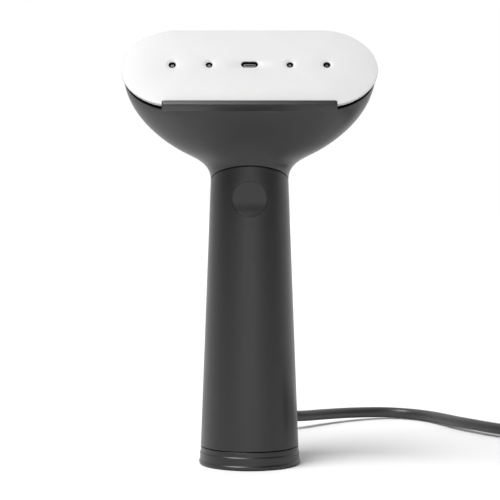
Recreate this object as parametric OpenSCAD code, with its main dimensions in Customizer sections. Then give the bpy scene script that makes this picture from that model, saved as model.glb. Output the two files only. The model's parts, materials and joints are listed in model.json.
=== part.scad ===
// Handheld garment steamer with a slide-out water tank in its grip.
// Frame: the origin is on the floor, on the axis of the grip. +Z is up, the steam plate faces -Y
// and its long side runs along X. Millimetres.
// Inside the head, "plate frame" means x along the plate, v up the plate and w out of its face.

/* [Handle] */
// Outer radius of the grip just above the base cap
grip_r_low = 24; // [23.8:0.1:24.2]
// Outer radius of the grip at the neck joint
grip_r_top = 19; // [18.9:0.1:19.3]
// Height of the neck joint on the grip's axis
neck_z = 138.5; // [138:0.5:140]
// Forward rise of the neck joint, degrees
neck_rise = 21.5; // [20:0.5:23]
// Wall of the handle shell
shell_wall = 2; // [1.8:0.1:2]
// Open line between neighbouring shells
seam = 0.4; // [0.2:0.1:0.6]

/* [Head] */
// Half length of the steam plate
plate_half_len = 60.3; // [59:0.1:62]
// Half height of the steam plate
plate_r = 22.3; // [22:0.1:22.6]
// Half length of the plate's and the rim's rounded ends
plate_end = 26; // [24:0.5:27]
// How far the plate's outline sits above the middle of the boiler
plate_rise = 1; // [0.8:0.1:1.2]
// Lean of the steam plate back from upright, degrees
plate_lean = 35; // [33:1:37]
// Height of the steam plate's centre
plate_z = 191.7; // [190:0.1:193]
// How far the steam plate's centre is in front of the grip's axis
plate_ahead = 32; // [31:0.1:33]
// Wall of the head housing
head_wall = 2.2; // [2:0.1:2.4]
// Radius of a round steam hole
steam_hole_r = 1.5; // [1:0.1:2]

/* [Controls] */
// Radius of the steam trigger
trigger_r = 8.5; // [7.5:0.1:8.5]
// Height of the steam trigger's centre
trigger_z = 130.2; // [129.5:0.1:130.5]
// Depth of the finger dish in the trigger
trigger_dish = 2.87; // [1.5:0.01:2.87]
// Radius of the power button
button_r = 5; // [4.5:0.1:5]
// Height of the power button's centre
button_z = 118; // [117.5:0.1:118.5]

/* [Tank and base] */
// Height of the base cap
cap_h = 8.8; // [8.4:0.1:9]
// Radius of the rubber foot
foot_r = 20.2; // [18:0.1:20.2]
// Wall of the water tank
tank_wall = 1.5; // [1.2:0.1:1.8]
// Top of the water tank's body
tank_top_z = 97; // [94:0.5:98]

/* [Cord] */
// Diameter of the mains cord
cord_d = 6; // [5.6:0.1:6]
// Height at which the cord leaves the handle
cord_exit_z = 20; // [19:0.5:22]
// Radius of the outermost turn of the stored coil
coil_r = 42; // [42:1:46]
// Radius of a plug pin
pin_r = 2.4; // [2:0.1:2.4]

/* [Hidden] */
$fn = 64;

dark = [0.20, 0.20, 0.21];
black = [0.06, 0.06, 0.06];
steel = [0.72, 0.72, 0.74];
brass = [0.78, 0.62, 0.32];
white = [0.93, 0.93, 0.92];

// --- Grip -----------------------------------------------------------------------------------
shell_z = cap_h + seam;
grip_taper = (grip_r_low - grip_r_top) / (neck_z - shell_z);
// Outer and inner radius of the grip at a height
function grip_r(z) = grip_r_low - grip_taper * (z - shell_z);
function bore_r(z) = grip_r(z) - shell_wall;

// The neck joint is a plane through the grip's axis that rises towards the front.
neck_slope = tan(neck_rise);
neck_front_y = -grip_r_top / (1 + grip_taper * neck_slope);
neck_back_y = grip_r_top / (1 - grip_taper * neck_slope);

// --- Head -----------------------------------------------------------------------------------
plate_turn = 90 - plate_lean;
// A place in the plate frame, as [y, z] and as [x, y, z]
function plate_yz(v, w) = [
    v * cos(plate_turn) - w * sin(plate_turn) - plate_ahead,
    v * sin(plate_turn) + w * cos(plate_turn) + plate_z
];
function plate_point(x, v, w) = [x, plate_yz(v, w)[0], plate_yz(v, w)[1]];

plate_t = 1.7;
block_depth = 6;
rim_w = -2.8;
rim_len = plate_half_len - 0.8;
rim_r = plate_r - 0.1;
hole_v = 2.5;
hole_x = [19, 36.3];
slot_len = 7.9;
slot_r = 1.8;

// Chamber, its cover and its shield, as half length, radius and depths in the plate frame
chamber_len = 47;
chamber_r = 17;
chamber_w = [-18, -6.05];
cover_w = [-20, -18.05];
shield_w = [-28, -27];
element_w = -22.1;
element_v = 9;
element_x = [-29, 32];
lead_x = 31;
nozzle_x = -20;
plate_screw_x = 43;
cover_screw_v = 13.4;

// The housing is lofted between the neck joint and the rim behind the steam plate. Its front and
// back run along one curve each, [y, z], and its sides along two, [half width, z].
front_curve = [
    [neck_front_y, neck_z - neck_front_y * neck_slope + seam], [-19.3, 152.5], [-34, 164],
    plate_yz(-rim_r, rim_w)
];
back_curve = [
    [neck_back_y, neck_z - neck_back_y * neck_slope + seam], [18.5, 165], [10, 190.6],
    plate_yz(rim_r, rim_w)
];
side_low = [[grip_r_top, neck_z + seam], [18.8, 145.5], [23, 148.1], [30, 152]];
side_high = [[30, 152], [44, 159.8], [57.8, 174], [rim_len, plate_yz(0, rim_w)[1]]];
side_knee = 1 / 3;
loft_rings = 24;
loft_sides = 48;
// How far the inside of the loft is moved out along w, so that the wall stays thick underneath
loft_lift = 2;

function bezier(p, t) = let (s = 1 - t)
    s * s * s * p[0] + 3 * s * s * t * p[1] + 3 * s * t * t * p[2] + t * t * t * p[3];
function mix(a, b, t) = a * (1 - t) + b * t;
function unit(v) = v / norm(v);
function side(t) = t < side_knee
    ? bezier(side_low, t / side_knee)
    : bezier(side_high, (t - side_knee) / (1 - side_knee));

// A stadium's outline by angle: x and v as fractions of its half length and of its radius
straight_angle = 35;
function stadium_quarter(a) = let (bend = 90 - straight_angle, flat = 1 - plate_end / rim_len)
    a < bend
    ? [flat + (1 - flat) * cos(90 * a / bend), sin(90 * a / bend)]
    : [flat * (90 - a) / straight_angle, 1];
function stadium_at(a) = let (
    fold = a <= 90 ? a : a <= 180 ? 180 - a : a <= 270 ? a - 180 : 360 - a,
    q = stadium_quarter(fold)
) [(a > 90 && a < 270 ? -1 : 1) * q[0], (a > 180 ? -1 : 1) * q[1]];

// One ring of the loft at t, from 0 at the neck to 1 at the rim, drawn in by an inset
function loft_ring(t, inset) = let (
    front_out = bezier(front_curve, t),
    back_out = bezier(back_curve, t),
    inward = unit(back_out - front_out) * inset,
    front = front_out + inward,
    back = back_out - inward,
    half_w = side(t)[0] - inset,
    middle = [(front[0] + back[0]) / 2, side(t)[1]],
    lift = (plate_yz(0, 1) - plate_yz(0, 0)) * (inset > 0 ? loft_lift * sin(180 * t) : 0),
    blend = t * t * (3 - 2 * t)
) [
    for (i = [0 : loft_sides - 1]) let (
        a = 360 * i / loft_sides,
        p = mix([cos(a), sin(a)], stadium_at(a), blend),
        yz = middle + (front - back) / 2 * p[1] + ((front + back) / 2 - middle) * p[1] * p[1] + lift
    ) [half_w * p[0], yz[0], yz[1]]
];

// Faces of a closed shell made of two stacks of rings, outer first, joined at both ends
function stack_faces(base, rings, sides, flip) = [
    for (r = [0 : rings - 2], i = [0 : sides - 1]) let (
        a = base + r * sides + i,
        b = base + r * sides + (i + 1) % sides,
        up = sides
    ) each flip ? [[a, a + up, b], [b, a + up, b + up]] : [[a, b, a + up], [b, b + up, a + up]]
];
function ring_faces(one, other, sides) = [
    for (i = [0 : sides - 1]) let (j = (i + 1) % sides)
        each [[one + i, other + i, one + j], [one + j, other + i, other + j]]
];

module shell_loft(inset) {
    outer = [for (k = [0 : loft_rings]) loft_ring(k / loft_rings, 0)];
    inner = [for (k = [0 : loft_rings]) loft_ring(k / loft_rings, inset)];
    rings = loft_rings + 1;
    start = rings * loft_sides;
    last = (rings - 1) * loft_sides;
    polyhedron(
        points = [each [for (r = outer) each r], each [for (r = inner) each r]],
        faces = [
            each stack_faces(0, rings, loft_sides, false),
            each stack_faces(start, rings, loft_sides, true),
            each ring_faces(0, start, loft_sides),
            each ring_faces(start + last, last, loft_sides)
        ]
    );
}

// --- Trigger, button and the frame between them ---------------------------------------------
trigger_gap = 0.25;
trigger_flange_r = 9.6;
trigger_back_y = [-14, -12.6];
frame_wall_y = [-9, -7.4];
plunger_r = 1.2;
spring_r = 2.4;
spring_wire_r = 0.25;
spring_turns = 2.5;
ring_r = [5.3, 6.3];
button_flange_y = [13.6, 14.7];
ring_flange_y = [14.9, 15.8];
board_y = [9, 10.6];
board_z = [110, 137];
board_half_w = 12.5;
partition_z = [105.5, 108.5];
shelf_z = [141, 143];
frame_half_w = 11.5;
pump_y = 1;
pump_r = 9.5;
pump_z = [143, 167];
boss_xy = [[-14.5, -6], [14.5, -6]];
boss_top_z = 117;

// --- Tank -----------------------------------------------------------------------------------
tank_gap = 2.2;
tank_floor_z = 3.5;
tank_flat_y = 12.5;
tank_lid_h = 2.5;
outlet_x = 7;
outlet_r = 3.9;
outlet_top_z = 105;
outlet_seal_z = 102.5;
filler_x = -7.8;
filler_r = 5.5;
cap_screw_xy = [[-12, 4], [-3, -13], [10, 7.5]];
function tank_r(z) = bore_r(z) - tank_gap;

// --- Wires, hoses and the cord --------------------------------------------------------------
wire_r = 1.1;
wire_x = [-4, 0, 4];
wire_y = 14.8;
relief_end_y = 58;

// The cord from the strain relief along the floor to the coil, and from the coil to the plug
cord_route = [
    [0, relief_end_y, cord_exit_z], [0, 70, 19.2], [1.5, 82, 16.3], [6.5, 94, 12.6],
    [15, 104.5, 9.3], [27, 114.5, 6.9], [40, 128, 5.8], [53, 139.5, 5], [65, 147.5, 4.3],
    [78, 152.3, 3.7], [90.5, 150, 3.3], [101, 140.5, 3.4], [108.5, 126.5, 3.8],
    [114.5, 112.5, 4.2], [121, 100.5, 4.5], [133.5, 83, 4.5], [146, 72.5, 4.2], [159, 67.3, 3.8],
    [172, 66, 3.6]
];
coil_xy = [187, 108];
coil_lift = 0.6;
coil_columns = 4;
coil_inner_r = coil_r + cord_d / 2 - coil_columns * cord_d;
coil_outer_r = coil_r + cord_d / 2;
coil_h = 2 * cord_d;
plug_xyz = [148, 5, 18.6];
tail_route = [
    [145, 93, 9.6], [145, 84, 10.2], [145.2, 74, 11.6], [146, 65, 14], [147.2, 56, 16.8],
    [148, 45, 18.6]
];
tie_half_w = 7;
tie_t = coil_lift;

// A smooth path through the points, with a number of steps between each pair
function smooth_path(p, steps) = let (last = len(p) - 1) [
    for (i = [0 : last - 1], k = [0 : steps - 1]) let (
        t = k / steps,
        a = p[max(i - 1, 0)], b = p[i], c = p[i + 1], d = p[min(i + 2, last)]
    ) 0.5 * (2 * b + (c - a) * t + (2 * a - 5 * b + 4 * c - d) * t * t
        + (3 * b - a - 3 * c + d) * t * t * t),
    p[last]
];
function tangents(p) = [
    for (i = [0 : len(p) - 1]) unit(p[min(i + 1, len(p) - 1)] - p[max(i - 1, 0)])
];
// Carries a direction across a path so that a tube's rings don't twist
function carried(t, i, before, done) = i == len(t)
    ? done
    : let (n = unit(before - (before * t[i]) * t[i])) carried(t, i + 1, n, concat(done, [n]));

module tube(points, r, sides, steps, across) {
    path = smooth_path(points, steps);
    along = tangents(path);
    normals = carried(along, 0, across, []);
    rings = len(path);
    polyhedron(
        points = [
            for (i = [0 : rings - 1], k = [0 : sides - 1]) let (a = 360 * k / sides)
                path[i] + r * (cos(a) * normals[i] + sin(a) * cross(along[i], normals[i]))
        ],
        faces = [
            each stack_faces(0, rings, sides, true),
            [for (k = [0 : sides - 1]) k],
            [for (k = [sides - 1 : -1 : 0]) (rings - 1) * sides + k]
        ]
    );
}

// --- Shared shapes --------------------------------------------------------------------------
module in_plate_frame() translate([0, -plate_ahead, plate_z]) rotate([plate_turn, 0, 0]) children();

module stadium(half_len, r) {
    for (s = [-1, 1]) translate([s * (half_len - r), 0]) circle(r);
    square([2 * (half_len - r), 2 * r], center = true);
}

// The plate's outline, straight edges between elliptical ends, and a slab of it
module plate_outline(half_len, r) {
    for (s = [-1, 1]) translate([s * (half_len - plate_end), 0]) scale([plate_end / r, 1]) circle(r);
    square([2 * (half_len - plate_end), 2 * r], center = true);
}
module plate_slab(half_len, r, w) translate([0, 0, w[0]])
    linear_extrude(w[1] - w[0]) plate_outline(half_len, r);

module slab(half_len, r, w) translate([0, 0, w[0]]) linear_extrude(w[1] - w[0]) stadium(half_len, r);

// A cylinder or cone along Z between two heights, and a cylinder along +Y between two depths
module post(r, z) translate([0, 0, z[0]]) cylinder(h = z[1] - z[0], r = r);
module rod_y(r, y) translate([0, y[0], 0]) rotate([-90, 0, 0]) cylinder(h = y[1] - y[0], r = r);

// The grip's cone, outside or inset, from one height to another
module grip_cone(z, inset) translate([0, 0, z[0]])
    cylinder(h = z[1] - z[0], r1 = grip_r(z[0]) - inset, r2 = grip_r(z[1]) - inset);

module box(x, y, z) translate([x[0], y[0], z[0]]) cube([x[1] - x[0], y[1] - y[0], z[1] - z[0]]);

// A pan-head screw along +Z, with its head from z = 0 down
module screw(shank_r, shank_len, head_r, head_h) {
    translate([0, 0, -head_h]) cylinder(h = head_h, r = head_r, $fn = 32);
    cylinder(h = shank_len, r = shank_r, $fn = 32);
}

// --- Shells ---------------------------------------------------------------------------------
module head_housing() color(dark) shell_loft(head_wall);

module handle_shell() color(dark) difference() {
    union() {
        difference() {
            grip_cone([shell_z, 152], 0);
            grip_cone([shell_z - 1, 153], shell_wall);
        }
        // Screw bosses for the inner frame, trimmed to the shell
        intersection() {
            for (p = boss_xy) translate(p) post(2.4, [partition_z[1] + 0.1, boss_top_z]);
            grip_cone([shell_z, 152], shell_wall / 2);
        }
    }
    translate([0, 0, neck_z]) rotate([-neck_rise, 0, 0]) translate([-40, -40, 0]) cube([80, 80, 60]);
    translate([0, 0, trigger_z]) rod_y(trigger_r + trigger_gap, [-40, -5]);
    translate([0, 0, button_z]) rod_y(ring_r[1] + 0.05, [5, 40]);
    translate([0, 0, cord_exit_z]) rod_y(5.2, [5, 40]);
    for (p = boss_xy) translate(p) post(1.3, [partition_z[1] - 1, boss_top_z - 2]);
}

module front_lip() color(dark) in_plate_frame() {
    half_x = [-40.7, 40.7];
    edge_v = -rim_r - 0.15;
    box(half_x, [edge_v, edge_v + 2.45], [0.05, 1.7]);
    box(half_x, [edge_v, plate_rise - plate_r - 0.05], [rim_w + 0.05, 0.05]);
    box(half_x, [edge_v, edge_v + 1.9], [rim_w + 0.05, -plate_t - 0.05]);
}

// --- Steam plate and boiler -----------------------------------------------------------------
module steam_plate() color(white) in_plate_frame() difference() {
    union() {
        translate([0, plate_rise, 0]) plate_slab(plate_half_len, plate_r, [-plate_t, 0]);
        slab(plate_half_len - 6.3, plate_r - 4, [-block_depth, -plate_t]);
    }
    for (s = [-1, 1], x = hole_x) translate([s * x, hole_v, 0]) {
        post(steam_hole_r, [-block_depth - 1, 1]);
        translate([0, 0, -0.5]) cylinder(h = 0.55, r1 = steam_hole_r, r2 = 2 * steam_hole_r);
    }
    translate([0, hole_v, 0]) slab(slot_len / 2, slot_r, [-block_depth - 1, 1]);
    for (s = [-1, 1]) translate([s * plate_screw_x, 0, 0]) post(1.3, [-block_depth - 1, -2.5]);
}

// The seal fills the gap between the plate and the rim. It steps back behind the lip.
module plate_seal() color(black) in_plate_frame() difference() {
    plate_slab(rim_len + 0.1, rim_r - 0.1, [rim_w + 0.05, -plate_t - 0.05]);
    slab(plate_half_len - 6.1, plate_r - 3.8, [rim_w - 1, 0]);
    box([-40.8, 40.8], [-rim_r - 1, -rim_r + 1.85], [rim_w - 1, 0]);
}

module steam_chamber() color(steel) in_plate_frame() difference() {
    slab(chamber_len, chamber_r, chamber_w);
    difference() {
        slab(chamber_len - 2.5, chamber_r - 2.5, [chamber_w[0] + 2, 0]);
        for (s = [-1, 1]) {
            translate([s * plate_screw_x, 0, 0]) post(3.5, [chamber_w[0], 1]);
            translate([0, s * cover_screw_v, 0]) post(3, [chamber_w[0], 1]);
        }
        // Labyrinth ribs that make the steam turn before it reaches the holes
        for (s = [-1, 1]) box([s * 15 - 1, s * 15 + 1], [-9 + 2 * s, 9 + 2 * s], [chamber_w[0], -9]);
    }
    translate([nozzle_x, 0, 0]) post(1.2, [chamber_w[0] - 1, -10]);
    for (s = [-1, 1]) {
        translate([s * plate_screw_x, 0, 0]) post(1.3, [chamber_w[0] - 1, 1]);
        translate([0, s * cover_screw_v, 0]) post(1.3, [chamber_w[0] - 1, -12]);
    }
}

module boiler_bracket() color([0.35, 0.33, 0.3]) in_plate_frame() difference() {
    slab(52.5, 18.6, [-9, chamber_w[1]]);
    slab(chamber_len + 0.2, chamber_r + 0.2, [-10, 0]);
}

module chamber_cover() color(steel) in_plate_frame() difference() {
    slab(chamber_len, chamber_r, cover_w);
    translate([nozzle_x, 0, 0]) post(1.2, [-21, 0]);
    for (s = [-1, 1]) {
        translate([s * plate_screw_x, 0, 0]) post(1.35, [-21, 0]);
        translate([0, s * cover_screw_v, 0]) post(1.35, [-21, 0]);
    }
}

module heating_element() color(steel) in_plate_frame() translate([0, 0, element_w]) {
    for (s = [-1, 1]) {
        translate([element_x[0], s * element_v, 0]) rotate([0, 90, 0])
            cylinder(h = element_x[1] - element_x[0], r = 2);
        translate([lead_x, s * element_v, 0]) post(1, [-3.9, 0]);
    }
    translate([element_x[0], 0, 0]) rotate([0, 0, 90]) rotate_extrude(angle = 180)
        translate([element_v, 0]) circle(2);
}

module thermostat() color(brass) in_plate_frame() translate([10, 0, 0]) {
    post(6.5, [-23.5, -20.05]);
    post(4.5, [-26, -23.5]);
}

module thermal_fuse() color(steel) in_plate_frame() translate([-14, 0, -22.3]) rotate([0, 90, 0]) {
    cylinder(h = 12, r = 2.1);
    translate([0, 0, -1.8]) cylinder(h = 15.6, r = 0.5, $fn = 24);
}

module inlet_nozzle() color(brass) in_plate_frame() translate([nozzle_x, 0, 0]) difference() {
    union() {
        post(4, [-21.5, -20.05]);
        post(2.5, [-27, -21.5]);
    }
    post(1.2, [-28, -19]);
}

module heat_shield() color([0.75, 0.73, 0.68]) in_plate_frame() difference() {
    union() {
        slab(39, 14.6, shield_w);
        for (s = [-1, 1]) translate([s * 30, 0, 0]) post(2, [shield_w[1], -20.05]);
    }
    translate([nozzle_x, 0, 0]) post(4, [-29, -26.5]);
    for (s = [-1, 1]) translate([lead_x, s * element_v, 0]) post(2.2, [-29, -26.5]);
}

module plate_screws() color(steel) in_plate_frame()
    for (s = [-1, 1]) translate([s * plate_screw_x, 0, cover_w[0] - 0.05]) screw(1.25, 17, 2.3, 1.6);

module cover_screws() color(steel) in_plate_frame()
    for (s = [-1, 1]) translate([0, s * cover_screw_v, cover_w[0] - 0.05]) screw(1.25, 7.5, 2.2, 1.6);

// --- Inner frame and pump -------------------------------------------------------------------
module inner_frame() color([0.85, 0.85, 0.83]) difference() {
    union() {
        post(18, partition_z);
        translate([outlet_x, 0, 0]) post(6.6, [outlet_seal_z - 1.6, partition_z[0]]);
        translate([outlet_x, 0, 0]) post(2, [partition_z[1], 111]);
        box([-frame_half_w, frame_half_w], frame_wall_y, [partition_z[1], shelf_z[0]]);
        for (s = [-1, 1]) box(
            s > 0 ? [frame_half_w - 1.5, frame_half_w] : [-frame_half_w, 1.5 - frame_half_w],
            [frame_wall_y[1], board_y[0] - 0.05], [partition_z[1], shelf_z[0]]);
        post(15.9, shelf_z);
    }
    // Socket that takes the tank's outlet, and its way up to the hose
    translate([outlet_x, 0, 0]) post(5.4, [outlet_seal_z - 2, partition_z[0]]);
    translate([outlet_x, 0, 0]) post(1, [partition_z[0] - 1, 112]);
    translate([0, 0, trigger_z]) rod_y(plunger_r + 0.4, [-12, -5]);
    for (p = boss_xy) translate(p) post(1.35, [partition_z[0] - 1, partition_z[1] + 1]);
    // Openings for the mains wires, the heater leads and the pump's inlet
    box([-6, 6], [12.8, 20], [partition_z[0] - 1, partition_z[1] + 1]);
    box([0.5, 9], [10.8, 14.2], [shelf_z[0] - 1, shelf_z[1] + 1]);
    translate([0, pump_y, 0]) post(2.8, [shelf_z[0] - 1, shelf_z[1] + 1]);
}

module frame_screws() color(steel)
    for (p = boss_xy) translate([p[0], p[1], partition_z[0] - 0.05]) screw(1.25, 9, 2.2, 1.6);

module pump_body() color([0.25, 0.25, 0.28]) translate([0, pump_y, 0]) difference() {
    union() {
        post(pump_r, [pump_z[0] + 0.05, pump_z[1]]);
        post(2, [140, pump_z[0] + 1]);
        post(2, [pump_z[1] - 1, 170]);
    }
    post(0.9, [139, 142.5]);
    post(0.9, [167.5, 171]);
}

module pump_mount() color(black) translate([0, pump_y, 0]) difference() {
    post(10.6, [shelf_z[1] + 0.05, 146]);
    post(pump_r + 0.02, [shelf_z[1] - 1, 147]);
}

module inlet_hose() color([0.8, 0.8, 0.78]) tube(
    [[outlet_x, 0, 111.05], [outlet_x, 0.4, 114.5], [6.6, 1.8, 119], [5.2, 3.2, 125],
        [3.2, 3.5, 130.5], [1.2, 2.6, 135], [0.2, pump_y + 0.3, 138], [0, pump_y, 139.95]],
    2.3, 10, 2, [0, 1, 0]);

module outlet_hose() color([0.8, 0.8, 0.78]) tube(
    [[0, pump_y, 170.05], [0, pump_y + 0.1, 172.5], [-2, 1.8, 175.2], [-6.2, 2.8, 176.6],
        [-11.5, 2.6, 176], [-16, 0.4, 174], [-18.8, -2.2, 172.9], plate_point(nozzle_x, 0, -32),
        plate_point(nozzle_x, 0, -29.5), plate_point(nozzle_x, 0, -27.05)],
    2.5, 10, 2, [0, 1, 0]);

module heater_leads() color([0.85, 0.2, 0.15]) {
    tube([[6.5, 10.65, 133.5], [6.5, 11.8, 134.2], [6.5, 12.5, 136.2], [6.5, 12.5, 141],
        [7, 12.4, 146.5], [11.5, 10.6, 152.5], [19, 5.5, 158], [26.5, -1.5, 162.5],
        plate_point(lead_x, -element_v, -34), plate_point(lead_x, -element_v, -30),
        plate_point(lead_x, -element_v, -26.05)], 0.9, 8, 2, [1, 0, 0]);
    tube([[2.5, 10.65, 133.5], [2.5, 11.8, 134.2], [2.5, 12.5, 136.2], [2.5, 12.5, 141],
        [3.2, 12, 148], [7, 10.6, 156], [13.5, 7.5, 163.5], [20.5, 3, 170.5], [27, -1.5, 176.5],
        plate_point(lead_x, element_v, -31), plate_point(lead_x, element_v, -29),
        plate_point(lead_x, element_v, -26.05)], 0.9, 8, 2, [1, 0, 0]);
}

// --- Controls -------------------------------------------------------------------------------
module trigger_button() color(dark) translate([0, 0, trigger_z]) difference() {
    union() {
        intersection() {
            rod_y(trigger_r, [-30, trigger_back_y[1] - 0.4]);
            translate([0, 0, -trigger_z]) grip_cone([trigger_z - 15, trigger_z + 15], 0);
        }
        rod_y(trigger_flange_r, trigger_back_y);
    }
    // Finger dish: a cylinder across the grip
    scoop_r = (trigger_r * trigger_r + trigger_dish * trigger_dish) / (2 * trigger_dish);
    translate([-20, trigger_dish - grip_r(trigger_z) - scoop_r, 0]) rotate([0, 90, 0])
        cylinder(h = 40, r = scoop_r, $fn = 96);
}

module switch_plunger() color(steel) translate([0, 0, trigger_z])
    rod_y(plunger_r, [trigger_back_y[1], -8]);

module trigger_spring() color(steel) {
    rest = [trigger_back_y[1] + 0.05 + spring_wire_r, frame_wall_y[0] - 0.05 - spring_wire_r];
    steps = 12 * spring_turns;
    tube([
        for (i = [0 : steps]) let (a = 360 * spring_turns * i / steps)
            [spring_r * cos(a), mix(rest[0], rest[1], i / steps), trigger_z + spring_r * sin(a)]
    ], spring_wire_r, 6, 1, [0, 1, 0]);
}

module trigger_switch() color(black) difference() {
    box([-2.9, 2.9], [frame_wall_y[1] + 0.1, -0.8], [124, 136.8]);
    translate([0, 0, trigger_z]) rod_y(plunger_r + 0.15, [-10, -4.5]);
}

module power_button() color(dark) translate([0, 0, button_z]) {
    rod_y(button_r + 1.1, button_flange_y);
    intersection() {
        rod_y(button_r, [button_flange_y[1] - 0.1, 30]);
        translate([0, 0, -button_z]) grip_cone([button_z - 9, button_z + 9], -0.2);
    }
}

module light_ring() color([0.9, 0.92, 0.95, 0.6]) translate([0, 0, button_z]) difference() {
    union() {
        rod_y(7.2, ring_flange_y);
        intersection() {
            rod_y(ring_r[1], [ring_flange_y[0], 30]);
            translate([0, 0, -button_z]) grip_cone([button_z - 9, button_z + 9], 0.05);
        }
    }
    rod_y(ring_r[0], [10, 40]);
}

module power_switch() color(black) translate([0, 0, button_z]) {
    box([-3, 3], [board_y[1] + 0.02, 12.2], [-3, 3]);
    rod_y(1.6, [12.2, 12.85]);
}

module control_board() color([0.1, 0.4, 0.2])
    box([-board_half_w, board_half_w], board_y, board_z);

module board_components() color(black) {
    box([-9, -3], [5.2, board_y[0] - 0.02], [112, 120]);
    box([-9, -4], [6.5, board_y[0] - 0.02], [123, 127]);
    translate([-6, 0, 132]) rod_y(2.5, [5.5, board_y[0] - 0.02]);
}

// --- Mains wires and the cord's anchor ------------------------------------------------------
module mains_wire(x) tube(
    [[x * 0.6, 18.35, cord_exit_z], [x * 0.65, 17.2, 20.3], [x * 0.8, 15.6, 22.6], [x, wire_y, 27],
        [x, wire_y, 60], [x, wire_y, 103], [x, 14.5, 106.5], [x, 13.4, 109.6], [x, 11.9, 111.2],
        [x, board_y[1] + 0.05, 111.6]],
    wire_r, 8, 2, [1, 0, 0]);

module live_wire() color([0.4, 0.25, 0.15]) mains_wire(wire_x[0]);
module neutral_wire() color([0.15, 0.3, 0.7]) mains_wire(wire_x[1]);
module earth_wire() color([0.3, 0.6, 0.2]) mains_wire(wire_x[2]);

module cord_clamp() color([0.85, 0.85, 0.83]) difference() {
    intersection() {
        box([-9, 9], [13.2, 25], [34, 40]);
        grip_cone([30, 45], shell_wall + 0.05);
    }
    for (x = wire_x) translate([x, wire_y, 0]) post(wire_r + 0.1, [30, 44]);
}

module strain_relief() color(black) translate([0, 0, cord_exit_z]) {
    rod_y(6.2, [18.4, 20]);
    rod_y(5, [20, 23.8]);
    rod_y(5.8, [23.65, 25.6]);
    translate([0, 25.6, 0]) rotate([-90, 0, 0])
        cylinder(h = relief_end_y - 25.6, r1 = 5.2, r2 = cord_d / 2 + 0.6);
}

// --- Base and tank --------------------------------------------------------------------------
module base_cap() color(dark) difference() {
    rotate_extrude() polygon([
        [0, 1.5], [20.4, 1.5], [20.4, 0.3], for (a = [0 : 15 : 90]) [23.85 + sin(a), 1.3 - cos(a)],
        [24.85, 1.7], [24.35, 4.2], [24.35, 5.6], [24, cap_h - 1.2], [24, cap_h], [21.6, cap_h],
        [21.6, 12.5], [20.4, 12.5], [20.4, 3.2], [0, 3.2]
    ]);
    for (p = cap_screw_xy) translate(p) {
        post(1.35, [0, 5]);
        post(2.6, [1, 2.5]);
    }
}

module foot_pad() color(black) post(foot_r, [0, 1.45]);

module cap_screws() color(steel)
    for (p = cap_screw_xy) translate([p[0], p[1], 2.5]) screw(1.25, 6, 2.4, 0.95);

// The tank's cross-section is the grip's, cut flat behind to leave room for the wires.
module tank_solid(z, inset) intersection() {
    grip_cone(z, shell_wall + tank_gap + inset);
    box([-30, 30], [-30, tank_flat_y - inset], [z[0] - 1, z[1] + 1]);
}

module tank_body() color([0.75, 0.82, 0.88, 0.5]) difference() {
    union() {
        difference() {
            tank_solid([tank_floor_z, tank_top_z], 0);
            tank_solid([tank_floor_z + tank_wall, tank_top_z + 1], tank_wall);
        }
        for (p = cap_screw_xy) translate(p) post(2.8, [tank_floor_z + 1, 10]);
    }
    for (p = cap_screw_xy) translate(p) post(1.3, [tank_floor_z - 1, 9]);
}

module tank_top() color([0.75, 0.82, 0.88, 0.5]) difference() {
    union() {
        tank_solid([tank_top_z, tank_top_z + tank_lid_h], 0);
        translate([outlet_x, 0, 0]) post(outlet_r, [tank_top_z + 1, outlet_top_z]);
    }
    translate([outlet_x, 0, 0]) post(1.6, [tank_top_z - 1, outlet_top_z + 1]);
    translate([filler_x, 0, 0]) post(filler_r, [tank_top_z - 1, tank_top_z + tank_lid_h + 1]);
}

module tank_seal() color(black) translate([outlet_x, 0, outlet_seal_z]) rotate_extrude()
    translate([outlet_r + 0.73, 0]) circle(0.7, $fn = 32);

module dip_tube() color(white) translate([outlet_x, 0, 0]) difference() {
    post(2, [8.05, tank_top_z]);
    post(1.2, [8, tank_top_z + 1]);
}

module tank_filter() color(steel) translate([outlet_x, 0, 0]) difference() {
    post(4, [5.1, 12.5]);
    post(2.03, [8, 13]);
    for (a = [0 : 45 : 315]) rotate([0, 0, a]) translate([3.2, 0, 0]) post(0.4, [5, 7.5], $fn = 24);
}

module filler_plug() color(black) translate([filler_x, 0, 0]) {
    post(filler_r - 0.15, [tank_top_z + 0.3, tank_top_z + tank_lid_h + 0.1]);
    post(6.8, [tank_top_z + tank_lid_h + 0.1, tank_top_z + tank_lid_h + 1.1]);
    box([-4, 4], [-1, 1], [tank_top_z + tank_lid_h + 1, tank_top_z + tank_lid_h + 2.3]);
}

// --- Cord and plug --------------------------------------------------------------------------
module cord_lead() color(dark) tube(cord_route, cord_d / 2, 12, 1, [0, 0, 1]);

module cord_coil() color(dark) translate([coil_xy[0], coil_xy[1], coil_lift]) difference() {
    cylinder(h = coil_h, r = coil_outer_r);
    translate([0, 0, -1]) cylinder(h = coil_h + 2, r = coil_inner_r);
}

module cord_tail() color(dark) tube(tail_route, cord_d / 2, 12, 1, [0, 0, 1]);

// Two straps around the bundle of turns
module cord_ties() color(black) for (a = [20, 120]) translate([coil_xy[0], coil_xy[1], 0])
    rotate([0, 0, a]) difference() {
        box([coil_inner_r - tie_t - 0.3, coil_outer_r + tie_t], [-tie_half_w, tie_half_w],
            [0, coil_lift + coil_h + tie_t]);
        rotate_extrude() translate([coil_inner_r - 0.05, coil_lift - 0.02])
            square([coil_columns * cord_d + 0.1, coil_h + 0.04]);
    }

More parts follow.
